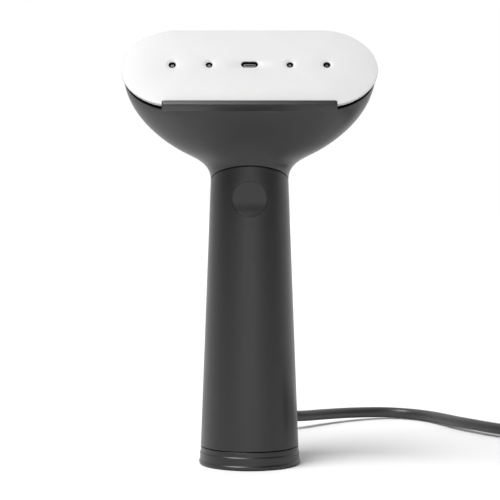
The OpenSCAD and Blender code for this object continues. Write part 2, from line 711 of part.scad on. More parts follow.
module plug_body() color(dark) translate(plug_xyz) difference() {
    rotate([90, 0, 0]) rotate_extrude() polygon([
        [0, 17], [18, 17], [18.5, 16.5], [18.5, 1], [17, 0], [12, -8], [9.5, -16], [8.5, -22],
        [5.6, -22], [4.6, -32], [3.6, -40], [0, -40]
    ]);
    // Grooves for the earth clips
    for (s = [-1, 1]) box([-3.4, 3.4], [-18, -2], s > 0 ? [16.4, 20] : [-20, -16.4]);
}

module plug_pins() color(steel) translate([plug_xyz[0], plug_xyz[1] - 17, plug_xyz[2]])
    for (s = [-1, 1]) translate([s * 9.5, 0, 0]) rotate([90, 0, 0]) cylinder(h = 19, r = pin_r);

module earth_clips() color(steel) translate(plug_xyz)
    for (s = [-1, 1]) box([-3, 3], [-17, -3], s > 0 ? [16.5, 17.5] : [-17.5, -16.5]);

head_housing();
handle_shell();
inner_frame();
frame_screws();
steam_plate();
plate_seal();
front_lip();
steam_chamber();
boiler_bracket();
chamber_cover();
heating_element();
thermostat();
thermal_fuse();
inlet_nozzle();
heat_shield();
plate_screws();
cover_screws();
pump_body();
pump_mount();
inlet_hose();
outlet_hose();
heater_leads();
trigger_button();
switch_plunger();
trigger_spring();
trigger_switch();
power_button();
light_ring();
power_switch();
control_board();
board_components();
live_wire();
neutral_wire();
earth_wire();
cord_clamp();
strain_relief();
base_cap();
foot_pad();
cap_screws();
tank_body();
tank_top();
tank_seal();
dip_tube();
tank_filter();
filler_plug();
cord_lead();
cord_coil();
cord_tail();
cord_ties();
plug_body();
plug_pins();
earth_clips();
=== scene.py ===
import json
import math

import bmesh
import bpy
import numpy as np
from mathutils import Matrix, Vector


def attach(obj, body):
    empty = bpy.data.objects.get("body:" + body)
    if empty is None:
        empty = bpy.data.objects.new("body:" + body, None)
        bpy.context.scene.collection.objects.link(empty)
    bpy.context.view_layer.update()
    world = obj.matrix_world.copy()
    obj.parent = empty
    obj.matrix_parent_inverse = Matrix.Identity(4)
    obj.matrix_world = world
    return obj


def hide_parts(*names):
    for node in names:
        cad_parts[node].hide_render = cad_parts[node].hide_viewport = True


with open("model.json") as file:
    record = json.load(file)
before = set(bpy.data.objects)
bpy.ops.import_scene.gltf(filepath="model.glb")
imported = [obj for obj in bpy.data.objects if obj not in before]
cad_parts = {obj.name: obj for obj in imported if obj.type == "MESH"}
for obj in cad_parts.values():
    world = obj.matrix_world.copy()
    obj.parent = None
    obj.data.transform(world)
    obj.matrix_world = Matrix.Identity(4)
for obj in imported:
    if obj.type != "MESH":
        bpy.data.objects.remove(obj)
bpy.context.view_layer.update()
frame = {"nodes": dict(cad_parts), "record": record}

# A handheld garment steamer: smooth shells, finishes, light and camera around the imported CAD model.
# The origin is on the floor on the grip's axis, +Z is up and the steam plate faces -Y. Shapes are
# worked out in millimetres, as in the CAD source, and scaled to metres when a piece is made.
MM = 0.001
SIDES = 128
# An edge that bends more than this, in degrees, stays crisp
CRISP = 38

# Grip: a cone with a slanted neck joint
SHELL_Z = 9.2
GRIP_R_LOW = 24
GRIP_TAPER = 5 / 129.3
NECK_Z = 138.5
NECK_SLOPE = math.tan(math.radians(21.5))
SHELL_WALL = 2
SHELL_EDGE = 0.3
GRIP_COLUMNS = 144
GRIP_ROWS = 72
SEAM = 0.4

# Head: a loft from the neck joint to the rim behind the plate
PLATE_TURN = math.radians(55)
PLATE_CENTRE = (-32, 191.7)
PLATE_LEN = 60.3
PLATE_R = 22.3
PLATE_END = 26
PLATE_RISE = 1
RIM_W = -3.6
RIM_LEN = PLATE_LEN - 0.8
RIM_R = PLATE_R - 0.1
HEAD_WALL = 2.2
HEAD_EDGE = 0.35
HEAD_RINGS = 72
HEAD_SIDES = 168
LOFT_LIFT = 2
STRAIGHT_ANGLE = 35
SIDE_KNEE = 1 / 3
SIDE_LOW = [(19, 138.9), (18.8, 145.5), (23, 148.1), (30, 152)]

# Controls: the trigger in front, the power button and its ring behind
TRIGGER_Z = 130.2
TRIGGER_R = 8.5
TRIGGER_LINE = 0.08
TRIGGER_DISH = 2.87
TRIGGER_EDGE = 0.1
BUTTON_Z = 118
BUTTON_R = 5
BUTTON_EDGE = 0.4
RING_R = (5.3, 6.3)
RING_EDGE = 0.15
CORD_HOLE_R = 5.2
CORD_EXIT_Z = 20
# The shell's round holes: side, height, radius, rounded edge, and half width in grid columns
SHELL_HOLES = [
    (-1, TRIGGER_Z, TRIGGER_R + TRIGGER_LINE, 0.08, 14),
    (1, BUTTON_Z, RING_R[1] + 0.05, RING_EDGE, 11),
    (1, CORD_EXIT_Z, CORD_HOLE_R, SHELL_EDGE, 8),
]

# Steam plate: its holes, its crowned face that also falls back at both ends, its edge and block
HOLE_V = 2.5
HOLE_X = (-36.3, -19, 19, 36.3)
HOLE_R = 1.5
DIMPLE_R = 3.4
COAT_W = -0.66
STEP_W = -2.4
JET_W = -1.1
JET_TIP_R = 0.7
JET_FOOT_R = 0.75
JET_R = 0.25
# Half the length and half the height of the zone on the plate that holds the steam holes
HOLES_REACH = (41, 5)
SLOT_HALF = 3.95
SLOT_R = 1.8
CROWN_WIDTH = 9
CROWN_DROP = 0.25
END_FALL = 1.2
END_FALL_X = 24
PLATE_EDGE = 0.4
PLATE_THICK = 2
# The fine groove round the plate's edge, as insets and depths below the rounded edge
EDGE_GROOVE = [(0, 0), (0.5, 0.05), (0.5, 0.4), (0, 0.45)]
BLOCK_W = -6
BLOCK_LEN = PLATE_LEN - 6.3
BLOCK_R = PLATE_R - 4
SCREW_X = 43
SCREW_R = 1.3
LIP_HALF = 40.7
LIP_TOP = 1.7
LIP_CORNER = 1.2
# The step that the seal takes back from the lip, and the play left between pieces
SEAL_STEP = 1.75
PLAY = 0.05

# Base: the screw holes in the cap
CAP_SCREWS = ((-12, 4), (-3, -13), (10, 7.5))

# Cord: the route on the floor, then a coil of two layers, then a short tail into the plug
CORD_R = 3.0
CORD_START = (0, 55, 20)
CORD_ROUTE = [
    (0, 58, 20), (0, 70, 19.2), (1.5, 82, 16.3), (6.5, 94, 12.6), (15, 104.5, 9.3),
    (27, 114.5, 6.9), (40, 128, 5.8), (53, 139.5, 5), (65, 147.5, 4.3), (78, 152.15, 3.7),
    (90.5, 150, 3.3), (101, 140.5, 3.4), (108.5, 126.5, 3.8), (114.5, 112.5, 4.2),
    (121, 100.5, 4.5), (133.5, 83, 4.5), (146, 72.5, 4.2), (159, 67.3, 3.8), (172, 66, 3.6),
]
TAIL_ROUTE = [
    (145, 93, 9.6), (145, 84, 10.2), (145.2, 74, 11.6), (146, 65, 14), (147.2, 56, 16.8),
    (148, 45, 18.6), (148, 40, 18.6),
]
COIL_XY = (187, 108)
COIL_R = 42
COIL_PITCH = 6
COIL_Z = 3.6
# Angles run along the coil, in degrees: its ends, and where a turn starts to shift to the next
COIL_ENTRY = 270
COIL_LEAVE = 2700
COIL_STEP = 12
SHIFT = 100
INWARD_SHIFTS = (385, 745, 1105)
RISE = 1365
OUTWARD_SHIFTS = (1625, 1985, 2345)
TIE_ANGLES = (20, 120)
PLUG_X = 148
PLUG_Z = 18.6
PIN_SPREAD = 9.5

# Light: the room's level by direction, from the camera's side (0) to behind the object (1)
ROOM_LEVELS = [
    (0, 1.5), (0.07, 0.6), (0.16, 0.1), (0.28, 0), (0.45, 0.1), (0.64, 0.7), (0.87, 1), (1, 1),
]
KEY_FROM = (-0.37, -0.37, 0.85)
KEY_SPREAD = math.radians(36)
KEY_LEVEL = 3.2
FLOOR_HALF = 4
FLOOR_COLOUR = (0.88, 0.88, 0.88)
PLATE_COLOUR = (0.615, 0.615, 0.613)
SHELL_COLOUR = (0.015, 0.015, 0.0153)
CORD_COLOUR = (0.03, 0.03, 0.031)

# Camera, in metres and degrees
CAMERA_PLACE = (0.0002, -0.8703, 0.14726)
CAMERA_DIP = 2.787
CAMERA_LENS = 128.2

node_body = {n: body for body, ns in frame["record"]["behaviour"]["bodies"].items() for n in ns}
node_slot = {s["node"]: s["material_slot"] for s in frame["record"]["subparts"]}
finishes = {}


# --- Shapes ---------------------------------------------------------------------------------
def unit(v):
    return v / np.linalg.norm(v)


def turned(count, start=0.0):
    """Cosines and sines of evenly spaced angles, from start degrees on."""
    a = np.radians(start + 360 * np.arange(count) / count)
    return np.cos(a), np.sin(a)


def rounded(profile, steps=5):
    """A line of (x, y) or (x, y, radius) corners, with an arc at each corner that has a radius."""
    out = []
    for i, corner in enumerate(profile):
        p = np.array(corner[:2], float)
        if len(corner) == 2:
            out.append(p)
            continue
        u = unit(np.array(profile[i - 1][:2]) - p)
        v = unit(np.array(profile[(i + 1) % len(profile)][:2]) - p)
        half = math.acos(np.clip(u @ v, -1, 1)) / 2
        centre = p + unit(u + v) * corner[2] / math.sin(half)
        reach = corner[2] / math.tan(half)
        start, end = p + u * reach - centre, p + v * reach - centre
        sweep = math.pi - 2 * half
        for k in range(steps + 1):
            near, far = math.sin((1 - k / steps) * sweep), math.sin(k / steps * sweep)
            out.append(centre + (near * start + far * end) / math.sin(sweep))
    return out


def lathe(profile, axis="z", centre=(0, 0, 0), count=SIDES):
    """One ring for each (radius, height) of a profile turned about an axis."""
    c, s = turned(count)
    rings = []
    for r, h in profile:
        level = np.full(count, float(h))
        ring = (r * c, r * s, level) if axis == "z" else (r * c, level, r * s)
        rings.append(np.stack(ring, 1) + np.array(centre))
    return rings


def bridge(bm, low, high):
    """Quads between two rings of vertices."""
    for i in range(len(low)):
        j = (i + 1) % len(low)
        bm.faces.new((low[i], low[j], high[j], high[i]))


def add_rings(bm, rings, closed=False):
    """Quads between neighbouring rings of points; closed joins the last ring to the first."""
    rows = [[bm.verts.new(p) for p in ring] for ring in rings]
    for low, high in zip(rows, rows[1:] + rows[:1] if closed else rows[1:]):
        bridge(bm, low, high)
    return rows


def fill_between(bm, loops):
    """Fills the flat area inside the first loop of vertices and outside the others."""
    edges = []
    for loop in loops:
        for a, b in zip(loop, loop[1:] + loop[:1]):
            edges.append(bm.edges.get((a, b)) or bm.edges.new((a, b)))
    bmesh.ops.triangle_fill(bm, use_beauty=True, use_dissolve=False, edges=edges)


def fillet(before, corner, after, steps=4):
    """Rings that round a corner between two rings, both ends included."""
    s = np.linspace(0, 1, steps + 1)
    return [(1 - t) ** 2 * before + 2 * t * (1 - t) * corner + t * t * after for t in s]


def toward(a, b, distance):
    """Points that distance from a on the way to b."""
    d = b - a
    return a + d * distance / np.linalg.norm(d, axis=1, keepdims=True)


def make_piece(name, bm, node, finish=None):
    """Turns millimetre geometry into a piece that stands for a CAD node and rides on its body."""
    bmesh.ops.remove_doubles(bm, verts=bm.verts, dist=1e-4)
    bmesh.ops.dissolve_degenerate(bm, edges=bm.edges, dist=1e-4)
    bmesh.ops.recalc_face_normals(bm, faces=bm.faces)
    bmesh.ops.scale(bm, vec=(MM, MM, MM), verts=bm.verts)
    mesh = bpy.data.meshes.new(name)
    bm.to_mesh(mesh)
    bm.free()
    mesh.shade_smooth()
    mesh.set_sharp_from_angle(angle=math.radians(CRISP))
    slot = node_slot[node]
    mesh.materials.append(finishes[finish or slot])
    piece = bpy.data.objects.new(name, mesh)
    bpy.context.scene.collection.objects.link(piece)
    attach(piece, node_body[node])
    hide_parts(node)
    return piece


# --- Grip -----------------------------------------------------------------------------------
def grip_r(z):
    return GRIP_R_LOW - GRIP_TAPER * (z - SHELL_Z)


def neck_z(facing, inset):
    """Height of the neck joint's plane on the grip's cone, by the sine of the angle from +X."""
    tilt = facing * NECK_SLOPE
    radius = GRIP_R_LOW - inset + GRIP_TAPER * SHELL_Z
    return (NECK_Z - tilt * radius) / (1 - tilt * GRIP_TAPER)


def grip_ring(v, inset):
    """One ring of the grip at v, from 0 at the base seam to 1 at the neck joint."""
    c, s = turned(GRIP_COLUMNS, -90)
    z = SHELL_Z + (neck_z(s, inset) - SHELL_Z) * v
    r = grip_r(z) - inset
    return np.stack((r * c, r * s, z), 1)


def on_cone(x, z, side, inset):
    """The point of the grip's front (side -1) or back (side 1) at x and z."""
    return np.stack((x, side * np.sqrt((grip_r(z) - inset) ** 2 - x * x), z), 1)


def hole_patch(bm, frame_loop, side, centre_z, radius, inset, steps=4):
    """Rings from a frame of grid vertices on the cone to a round hole; the last one and its angles."""
    frame_points = np.array([v.co for v in frame_loop])
    arc = np.arctan2(frame_points[:, 0], side * frame_points[:, 1]) * (grip_r(centre_z) - inset)
    up = frame_points[:, 2] - centre_z
    a = np.arctan2(up, arc)
    x, z = radius * np.cos(a), radius * np.sin(a)
    hole_arc = np.arcsin(x / (grip_r(centre_z) - inset)) * (grip_r(centre_z) - inset)
    last = frame_loop
    for k in range(1, steps):
        t = k / steps
        s = (arc * (1 - t) + hole_arc * t) / (grip_r(centre_z) - inset)
        level = centre_z + up * (1 - t) + z * t
        r = grip_r(level) - inset
        ring = [bm.verts.new(p) for p in np.stack((r * np.sin(s), side * r * np.cos(s), level), 1)]
        bridge(bm, last, ring)
        last = ring
    return last, a


def open_hole(bm, rows, frame_rows, frame_columns, side, centre_z, radius, edge):
    """Cuts a round hole along Y through the grip's outer and inner rows and walls it."""
    ends = []
    for layer, inset, rim in ((rows[0], 0, radius + edge), (rows[1], SHELL_WALL, radius)):
        low, high = frame_rows
        left, right = frame_columns
        loop = [layer[low][c % GRIP_COLUMNS] for c in range(left, right)]
        loop += [layer[r][right % GRIP_COLUMNS] for r in range(low, high)]
        loop += [layer[high][c % GRIP_COLUMNS] for c in range(right, left, -1)]
        loop += [layer[r][left % GRIP_COLUMNS] for r in range(high, low, -1)]
        last, a = hole_patch(bm, loop, side, centre_z, rim, inset)
        ends.append((last, a, inset, rim))
    (outer, a, _, rim), (inner, b, _, _) = ends
    outer_rim = on_cone(rim * np.cos(a), centre_z + rim * np.sin(a), side, 0)
    corner = on_cone(radius * np.cos(a), centre_z + radius * np.sin(a), side, 0)
    below = corner - np.array((0, side * edge, 0))
    inner_rim = on_cone(radius * np.cos(b), centre_z + radius * np.sin(b), side, SHELL_WALL)
    wall = add_rings(bm, fillet(outer_rim, corner, below) + [inner_rim])
    bridge(bm, outer, wall[0])
    bridge(bm, wall[-1], inner)


def grip_shell():
    """The handle's tapered shell with its three holes and two screw bosses."""
    bm = bmesh.new()
    levels = np.linspace(0.004, 0.996, GRIP_ROWS)
    layers = []
    for inset in (0, SHELL_WALL):
        layers.append([[bm.verts.new(p) for p in grip_ring(v, inset)] for v in levels])
    frames = []
    for side, z, radius, _, reach in SHELL_HOLES:
        middle = 0 if side < 0 else GRIP_COLUMNS // 2
        heights = SHELL_Z + (neck_z(float(side), 0) - SHELL_Z) * levels
        low = int(np.searchsorted(heights, z - radius - 1.2)) - 1
        high = int(np.searchsorted(heights, z + radius + 1.2)) + 1
        frames.append(((low, high), (middle - reach, middle + reach)))
    for layer in layers:
        for r in range(GRIP_ROWS - 1):
            for c in range(GRIP_COLUMNS):
                if any(lo <= r < hi and (c - left) % GRIP_COLUMNS < right - left
                       for (lo, hi), (left, right) in frames):
                    continue
                d = (c + 1) % GRIP_COLUMNS
                bm.faces.new((layer[r][c], layer[r][d], layer[r + 1][d], layer[r + 1][c]))
    for (side, z, radius, edge, _), (rows, columns) in zip(SHELL_HOLES, frames):
        open_hole(bm, layers, rows, columns, side, z, radius, edge)
    for v, row in ((0, 0), (1, -1)):
        outer, inner = grip_ring(v, 0), grip_ring(v, SHELL_WALL)
        up = grip_ring(0.5, 0) - outer
        inside_up = grip_ring(0.5, SHELL_WALL) - inner
        rings = fillet(toward(outer, outer + up, SHELL_EDGE), outer, toward(outer, inner, SHELL_EDGE))
        rings += fillet(toward(inner, outer, SHELL_EDGE), inner,
                        toward(inner, inner + inside_up, SHELL_EDGE))
        rim = add_rings(bm, rings)
        bridge(bm, layers[0][row], rim[0])
        bridge(bm, rim[-1], layers[1][row])
    for x in (-14.5, 14.5):
        profile = [(1.3, 108.6), (2.4, 108.6), (2.4, 116.6), (2.0, 117), (1.3, 117)]
        add_rings(bm, lathe(profile, centre=(x, -6, 0), count=32), closed=True)
    return make_piece("grip_shell", bm, "handle_shell")


# --- Head -----------------------------------------------------------------------------------
def plate_yz(v, w):
    """The plate's own height v and depth w as y and z."""
    c, s = math.cos(PLATE_TURN), math.sin(PLATE_TURN)
    return np.array((v * c - w * s + PLATE_CENTRE[0], v * s + w * c + PLATE_CENTRE[1]))


def in_plate_frame(x, v, w):
    """Arrays of x, v and w as points."""
    y, z = plate_yz(np.asarray(v), np.asarray(w))
    return np.stack((x, y, z), 1)


def plate_move(v, w):
    """The move that takes a point v up the plate and w along its depth."""
    return np.array((0, *(plate_yz(v, w) - plate_yz(0, 0))))


def bezier(p, t):
    p = [np.array(q, float) for q in p]
    s = 1 - t
    return s ** 3 * p[0] + 3 * s * s * t * p[1] + 3 * s * t * t * p[2] + t ** 3 * p[3]


def neck_end(side):
    """Where the head's front or back starts, just above the neck joint."""
    z = neck_z(float(side), 0)
    return (side * grip_r(z), z + SEAM)


FRONT_CURVE = [neck_end(-1), (-19.3, 152.5), (-34, 164), plate_yz(-RIM_R, RIM_W)]
BACK_CURVE = [neck_end(1), (18.5, 165), (10, 190.6), plate_yz(RIM_R, RIM_W)]
SIDE_HIGH = [(30, 152), (44, 159.8), (57.8, 174), (RIM_LEN, plate_yz(0, RIM_W)[1])]


def side_at(t):
    """Half width and height of the head's sides at t."""
    if t < SIDE_KNEE:
        return bezier(SIDE_LOW, t / SIDE_KNEE)
    return bezier(SIDE_HIGH, (t - SIDE_KNEE) / (1 - SIDE_KNEE))


def stadium_shares(count):
    """A stadium's outline as shares of its half length and radius, by evenly spaced angles."""
    a = 360 * np.arange(count) / count
    fold = np.where(a <= 90, a, np.where(a <= 270, np.abs(180 - a), 360 - a))
    flat = 1 - PLATE_END / RIM_LEN
    bend = 90 - STRAIGHT_ANGLE
    turn = np.radians(90 * np.minimum(fold, bend) / bend)
    x = np.where(fold < bend, flat + (1 - flat) * np.cos(turn), flat * (90 - fold) / STRAIGHT_ANGLE)
    return (np.where((a > 90) & (a < 270), -x, x), np.where(a > 180, -np.sin(turn), np.sin(turn)))


def head_ring(t, inset):
    """One ring of the head at t, from 0 at the neck to 1 at the rim, drawn in by an inset."""
    front, back = bezier(FRONT_CURVE, t), bezier(BACK_CURVE, t)
    inward = unit(back - front) * inset
    front, back = front + inward, back - inward
    half_width, side_z = side_at(t)
    middle = np.array(((front[0] + back[0]) / 2, side_z))
    lift = plate_move(0, 1)[1:] * (LOFT_LIFT * math.sin(math.pi * t) if inset else 0)
    blend = t * t * (3 - 2 * t)
    c, s = turned(HEAD_SIDES)
    flat_x, flat_v = stadium_shares(HEAD_SIDES)
    across = (c * (1 - blend) + flat_x * blend) * (half_width - inset)
    up = (s * (1 - blend) + flat_v * blend)[:, None]
    yz = middle + (front - back) / 2 * up + ((front + back) / 2 - middle) * up * up + lift
    return np.stack((across, yz[:, 0], yz[:, 1]), 1)


def head_shell():
    """The bowl-shaped head housing, an even wall with rounded rims."""
    bm = bmesh.new()
    near = 0.01
    levels = np.linspace(near, 1 - near, HEAD_RINGS)
    outer = [head_ring(t, 0) for t in levels]
    inner = [head_ring(t, HEAD_WALL) for t in levels]
    rings = list(outer)
    for t in (1, 0):
        out, into = head_ring(t, 0), head_ring(t, HEAD_WALL)
        out_near = head_ring(abs(t - near), 0)
        into_near = head_ring(abs(t - near), HEAD_WALL)
        turn = fillet(toward(out, out_near, HEAD_EDGE), out, toward(out, into, HEAD_EDGE))
        turn += fillet(toward(into, out, HEAD_EDGE), into, toward(into, into_near, HEAD_EDGE))
        if t == 1:
            rings += turn + inner[::-1]
        else:
            rings += turn[::-1]
    add_rings(bm, rings, closed=True)
    return make_piece("head_shell", bm, "head_housing")


# --- Steam plate, its seal and the lip ------------------------------------------------------
def stadium(half_len, radius, w, count=240):
    """A stadium in the plate's frame, its points evenly spaced along it."""
    straight = 2 * (half_len - radius)
    around = math.pi * radius
    s = (np.arange(count) + 0.5) / count * 2 * (straight + around)
    x, v = np.zeros(count), np.zeros(count)
    for k, d in enumerate(s):
        mirror = -1 if d >= straight + around else 1
        d = d % (straight + around)
        if d < straight:
            x[k], v[k] = mirror * (straight / 2 - d), mirror * radius
        else:
            a = math.pi / 2 + (d - straight) / radius
            x[k] = mirror * (-straight / 2 + radius * math.cos(a))
            v[k] = mirror * radius * math.sin(a)
    return in_plate_frame(x, v, np.full(count, float(w)))


def plate_outline(inset, w, rise=PLATE_RISE, half_len=PLATE_LEN, radius=PLATE_R, count=240):
    """The plate's outline, straight edges between elliptical ends, drawn in and at a depth w."""
    c, s = turned(count, 180 / count)
    flat = half_len - PLATE_END
    x = np.where(c > 0, flat, -flat) + (PLATE_END - inset) * c
    return in_plate_frame(x, (radius - inset) * s + rise, w + 0 * c)


def plate_circle(x, v, radius, w, count=48):
    c, s = turned(count)
    return in_plate_frame(x + radius * c, v + radius * s, np.full(count, float(w)))


def plate_slot(radius, w):
    ring = stadium(SLOT_HALF - SLOT_R + radius, radius, w, count=64)
    return ring + plate_move(HOLE_V, 0)


def fallen(points):
    """Lets the plate's ends fall back: points of the face, moved along its depth by their x."""
    reach = np.clip((np.abs(points[:, 0]) - END_FALL_X) / (PLATE_LEN - END_FALL_X), 0, 1)
    return points - np.outer(END_FALL * reach ** 2, plate_move(0, 1))


def crown_drop(inset):
    """How far the face falls back at a distance in from its edge."""
    return CROWN_DROP * max(0, 1 - inset / CROWN_WIDTH) ** 2


def plate_body():
    """The coated plate: a crowned face with dimpled holes and a slot, on a thick cast block."""
    bm = bmesh.new()
    insets = np.linspace(CROWN_WIDTH, PLATE_EDGE, 16)
    rings = [fallen(plate_outline(d, -crown_drop(d))) for d in insets]
    edge_w = -crown_drop(0)
    rings += fillet(rings[-1], fallen(plate_outline(0, edge_w)),
                    fallen(plate_outline(0, edge_w - PLATE_EDGE)))
    for inset, depth in EDGE_GROOVE:
        rings.append(fallen(plate_outline(inset, edge_w - PLATE_EDGE - depth)))
    rings += [plate_outline(0, PLAY - PLATE_THICK), plate_outline(0.1, -PLATE_THICK)]
    rings += [stadium(BLOCK_LEN, BLOCK_R, w) for w in (-PLATE_THICK, BLOCK_W)]
    rows = add_rings(bm, rings)
    face_loops, under_loops = [rows[0]], [rows[-1]]
    for x in HOLE_X:
        funnel = [(DIMPLE_R, 0), (3.0, -0.03), (2.6, -0.09), (2.2, -0.19), (1.85, -0.33),
                  (1.6, -0.5), (HOLE_R, COAT_W), (HOLE_R, STEP_W), (JET_FOOT_R, STEP_W),
                  (JET_TIP_R, JET_W), (JET_R, JET_W), (JET_R, BLOCK_W)]
        hole = add_rings(bm, [fallen(plate_circle(x, HOLE_V, r, w)) for r, w in funnel])
        face_loops.append(hole[0])
        under_loops.append(hole[-1])
    lip = [(SLOT_R + 0.35, 0), (SLOT_R + 0.15, -0.05), (SLOT_R + 0.03, -0.17), (SLOT_R, -0.35),
           (SLOT_R, STEP_W), (0.9, STEP_W), (0.8, JET_W), (JET_R, JET_W), (JET_R, BLOCK_W)]
    slot = add_rings(bm, [plate_slot(r, w) for r, w in lip])
    face_loops.append(slot[0])
    under_loops.append(slot[-1])
    for x in (-SCREW_X, SCREW_X):
        screw = add_rings(bm, [plate_circle(x, 0, SCREW_R, w, count=24) for w in (BLOCK_W, -2.5)])
        bm.faces.new(screw[-1])
        under_loops.append(screw[0])
    fill_between(bm, face_loops)
    fill_between(bm, under_loops)
    return make_piece("plate_body", bm, "steam_plate")


def plate_gasket():
    """The seal that fills the gap between the plate and the rim, stepped back by the lip; its rubber is
    near black, painted shade for the gap.
    """
    bm = bmesh.new()
    low, high = RIM_W + PLAY, -PLATE_THICK - PLAY
    rings = []
    for pinch, w in ((0.2, low), (0, low + 0.2), (0, high - 0.2), (0.2, high)):
        ring = plate_outline(pinch, w, 0, RIM_LEN + 0.1, RIM_R - 0.1)
        behind = (np.abs(ring[:, 0]) < LIP_HALF + 0.1) & (ring[:, 2] < PLATE_CENTRE[1])
        ring[behind] += plate_move(SEAL_STEP, 0)
        rings.append(ring)
    rings += [stadium(BLOCK_LEN + 0.2, BLOCK_R + 0.2, w) for w in (high, low)]
    add_rings(bm, rings, closed=True)
    # The seal's finish is painted shade: rubber darkened to near black for the gap.
    return make_piece("plate_gasket", bm, "plate_seal", "seal_painted_shade")


def lip_strip():
    """The dark strip clipped over the plate's lower edge: a grooved front and rounded end corners."""
    bm = bmesh.new()
    half, corner = LIP_HALF, LIP_CORNER
    reach = np.array((0, 0.12, 0.35, 0.7, 1.05, corner))
    stations = [(-half + e, e) for e in reach] + [(half - e, e) for e in reach[::-1]]
    rings = []
    for x, e in stations:
        top = LIP_TOP - (corner - math.sqrt(corner ** 2 - (corner - e) ** 2))
        front, back = -RIM_R - 0.15, -RIM_R + 2.3
        under = PLATE_RISE - PLATE_R - PLAY
        section = rounded([
            (front, RIM_W + PLAY, 0.2), (front + 1.9, RIM_W + PLAY, 0.2),
            (front + 1.9, -PLATE_THICK - PLAY, 0.1), (under, -PLATE_THICK - PLAY, 0.1),
            (under, PLAY, 0.1), (back, PLAY, 0.1), (back, top, 0.1), (front, top, 0.15),
            (front, top - 0.3), (front + 0.25, top - 0.42), (front, top - 0.54),
        ])
        v, w = np.array(section).T
        rings.append(in_plate_frame(np.full(len(v), x), v, w))
    rows = add_rings(bm, rings)
    bm.faces.new(rows[0])
    bm.faces.new(rows[-1])
    return make_piece("lip_strip", bm, "front_lip")


# --- Trigger and power button ---------------------------------------------------------------
def trigger_y(x, z):
    """Depth of the trigger's face: the grip's cone, hollowed by a dish across it."""
    cone = -np.sqrt(grip_r(z) ** 2 - x * x)
    scoop = (TRIGGER_R ** 2 + TRIGGER_DISH ** 2) / (2 * TRIGGER_DISH)
    axis = TRIGGER_DISH - grip_r(TRIGGER_Z) - scoop
    dish = axis + np.sqrt(scoop ** 2 - (z - TRIGGER_Z) ** 2)
    return (cone + dish + np.sqrt((cone - dish) ** 2 + 0.04)) / 2


def power_y(x, z):
    return np.sqrt((grip_r(z) + 0.2) ** 2 - x * x)


def ring_y(x, z):
    return np.sqrt((grip_r(z) - 0.05) ** 2 - x * x)


def face_ring(face_y, radius, centre_z, shift=0.0):
    """A ring about a Y axis that lies on a face, moved along Y by a shift."""
    c, s = turned(SIDES)
    x, z = radius * c, centre_z + radius * s
    return np.stack((x, face_y(x, z) + shift, z), 1)


def pressed_face(face_y, radius, edge, centre_z, inward, flange):
    """A button: its face, a rounded edge, a straight side and a flange of (radius, y) corners."""
    bm = bmesh.new()
    inner = np.linspace(0, radius - edge, 16)
    rings = [face_ring(face_y, r, centre_z) for r in inner]
    rings += fillet(rings[-1], face_ring(face_y, radius, centre_z),
                    face_ring(face_y, radius, centre_z, inward * edge))
    rings += lathe(flange, axis="y", centre=(0, 0, centre_z))
    add_rings(bm, rings)
    return bm


def trigger():
    flange = [(TRIGGER_R, -14), (9.6, -14), (9.6, -12.6), (0, -12.6)]
    bm = pressed_face(trigger_y, TRIGGER_R, TRIGGER_EDGE, TRIGGER_Z, 1, flange)
    return make_piece("trigger", bm, "trigger_button")


def power_key():
    flange = [(BUTTON_R, 14.7), (6.1, 14.7), (6.1, 13.6), (0, 13.6)]
    bm = pressed_face(power_y, BUTTON_R, BUTTON_EDGE, BUTTON_Z, -1, flange)
    return make_piece("power_key", bm, "power_button")


def light_window():
    """The clear ring around the power button, with a flange behind the shell."""
    bm = bmesh.new()
    (inner, outer), edge = RING_R, RING_EDGE
    rings = fillet(face_ring(ring_y, inner, BUTTON_Z, -edge), face_ring(ring_y, inner, BUTTON_Z),
                   face_ring(ring_y, inner + edge, BUTTON_Z))
    rings += fillet(face_ring(ring_y, outer - edge, BUTTON_Z), face_ring(ring_y, outer, BUTTON_Z),
                    face_ring(ring_y, outer, BUTTON_Z, -edge))
    back = [(outer, 15.8), (7.2, 15.8), (7.2, 14.9), (inner, 14.9)]
    rings += lathe(back, axis="y", centre=(0, 0, BUTTON_Z))
    add_rings(bm, rings, closed=True)
    return make_piece("light_window", bm, "light_ring")


# --- Base -----------------------------------------------------------------------------------
def base_cover():
    """The base cap, with a flared skirt, a spigot into the grip and three screw holes."""
    bm = bmesh.new()
    profile = rounded([
        (20.4, 1.5), (20.4, 0.3, 0.15), (24.85, 0.3, 0.9), (24.85, 1.7, 0.5), (24.4, 2.4, 0.5),
        (24.4, 5.9, 0.5), (24, 6.5, 0.5), (24, 8.8, 0.3), (21.6, 8.8, 0.1), (21.6, 12.5, 0.3),
        (20.4, 12.5, 0.2), (20.4, 3.2, 0.2), (19.5, 3.2),
    ])
    rows = add_rings(bm, lathe(profile))
    below, above = [rows[0]], [rows[-1]]
    for x, y in CAP_SCREWS:
        hole = [(2.6, 1.5), (2.6, 2.5), (1.35, 2.5), (1.35, 3.2)]
        loops = add_rings(bm, lathe(hole, centre=(x, y, 0), count=32))
        below.append(loops[0])
        above.append(loops[-1])
    fill_between(bm, below)
    fill_between(bm, above)
    return make_piece("base_cover", bm, "base_cap")


def foot_rubber():
    """The rubber foot, with shallow rings under it."""
    bm = bmesh.new()
    profile = [(0, 1.45), (20.2, 1.45), (20.2, 0.25), (19.95, 0)]
    for r in (18, 14, 10, 6):
        profile += [(r, 0), (r - 0.3, 0.4), (r - 1.2, 0.4), (r - 1.5, 0)]
    add_rings(bm, lathe(profile + [(0, 0)]))
    return make_piece("foot_rubber", bm, "foot_pad")


# --- Cord, strain relief, ties and plug -----------------------------------------------------
def eased(angle, start):
    """0 before a shift between two turns and 1 after it, with an even bend in between."""
    t = min(max((angle - start) / SHIFT, 0), 1)
    return 2 * t * t if t < 0.5 else 1 - 2 * (1 - t) ** 2


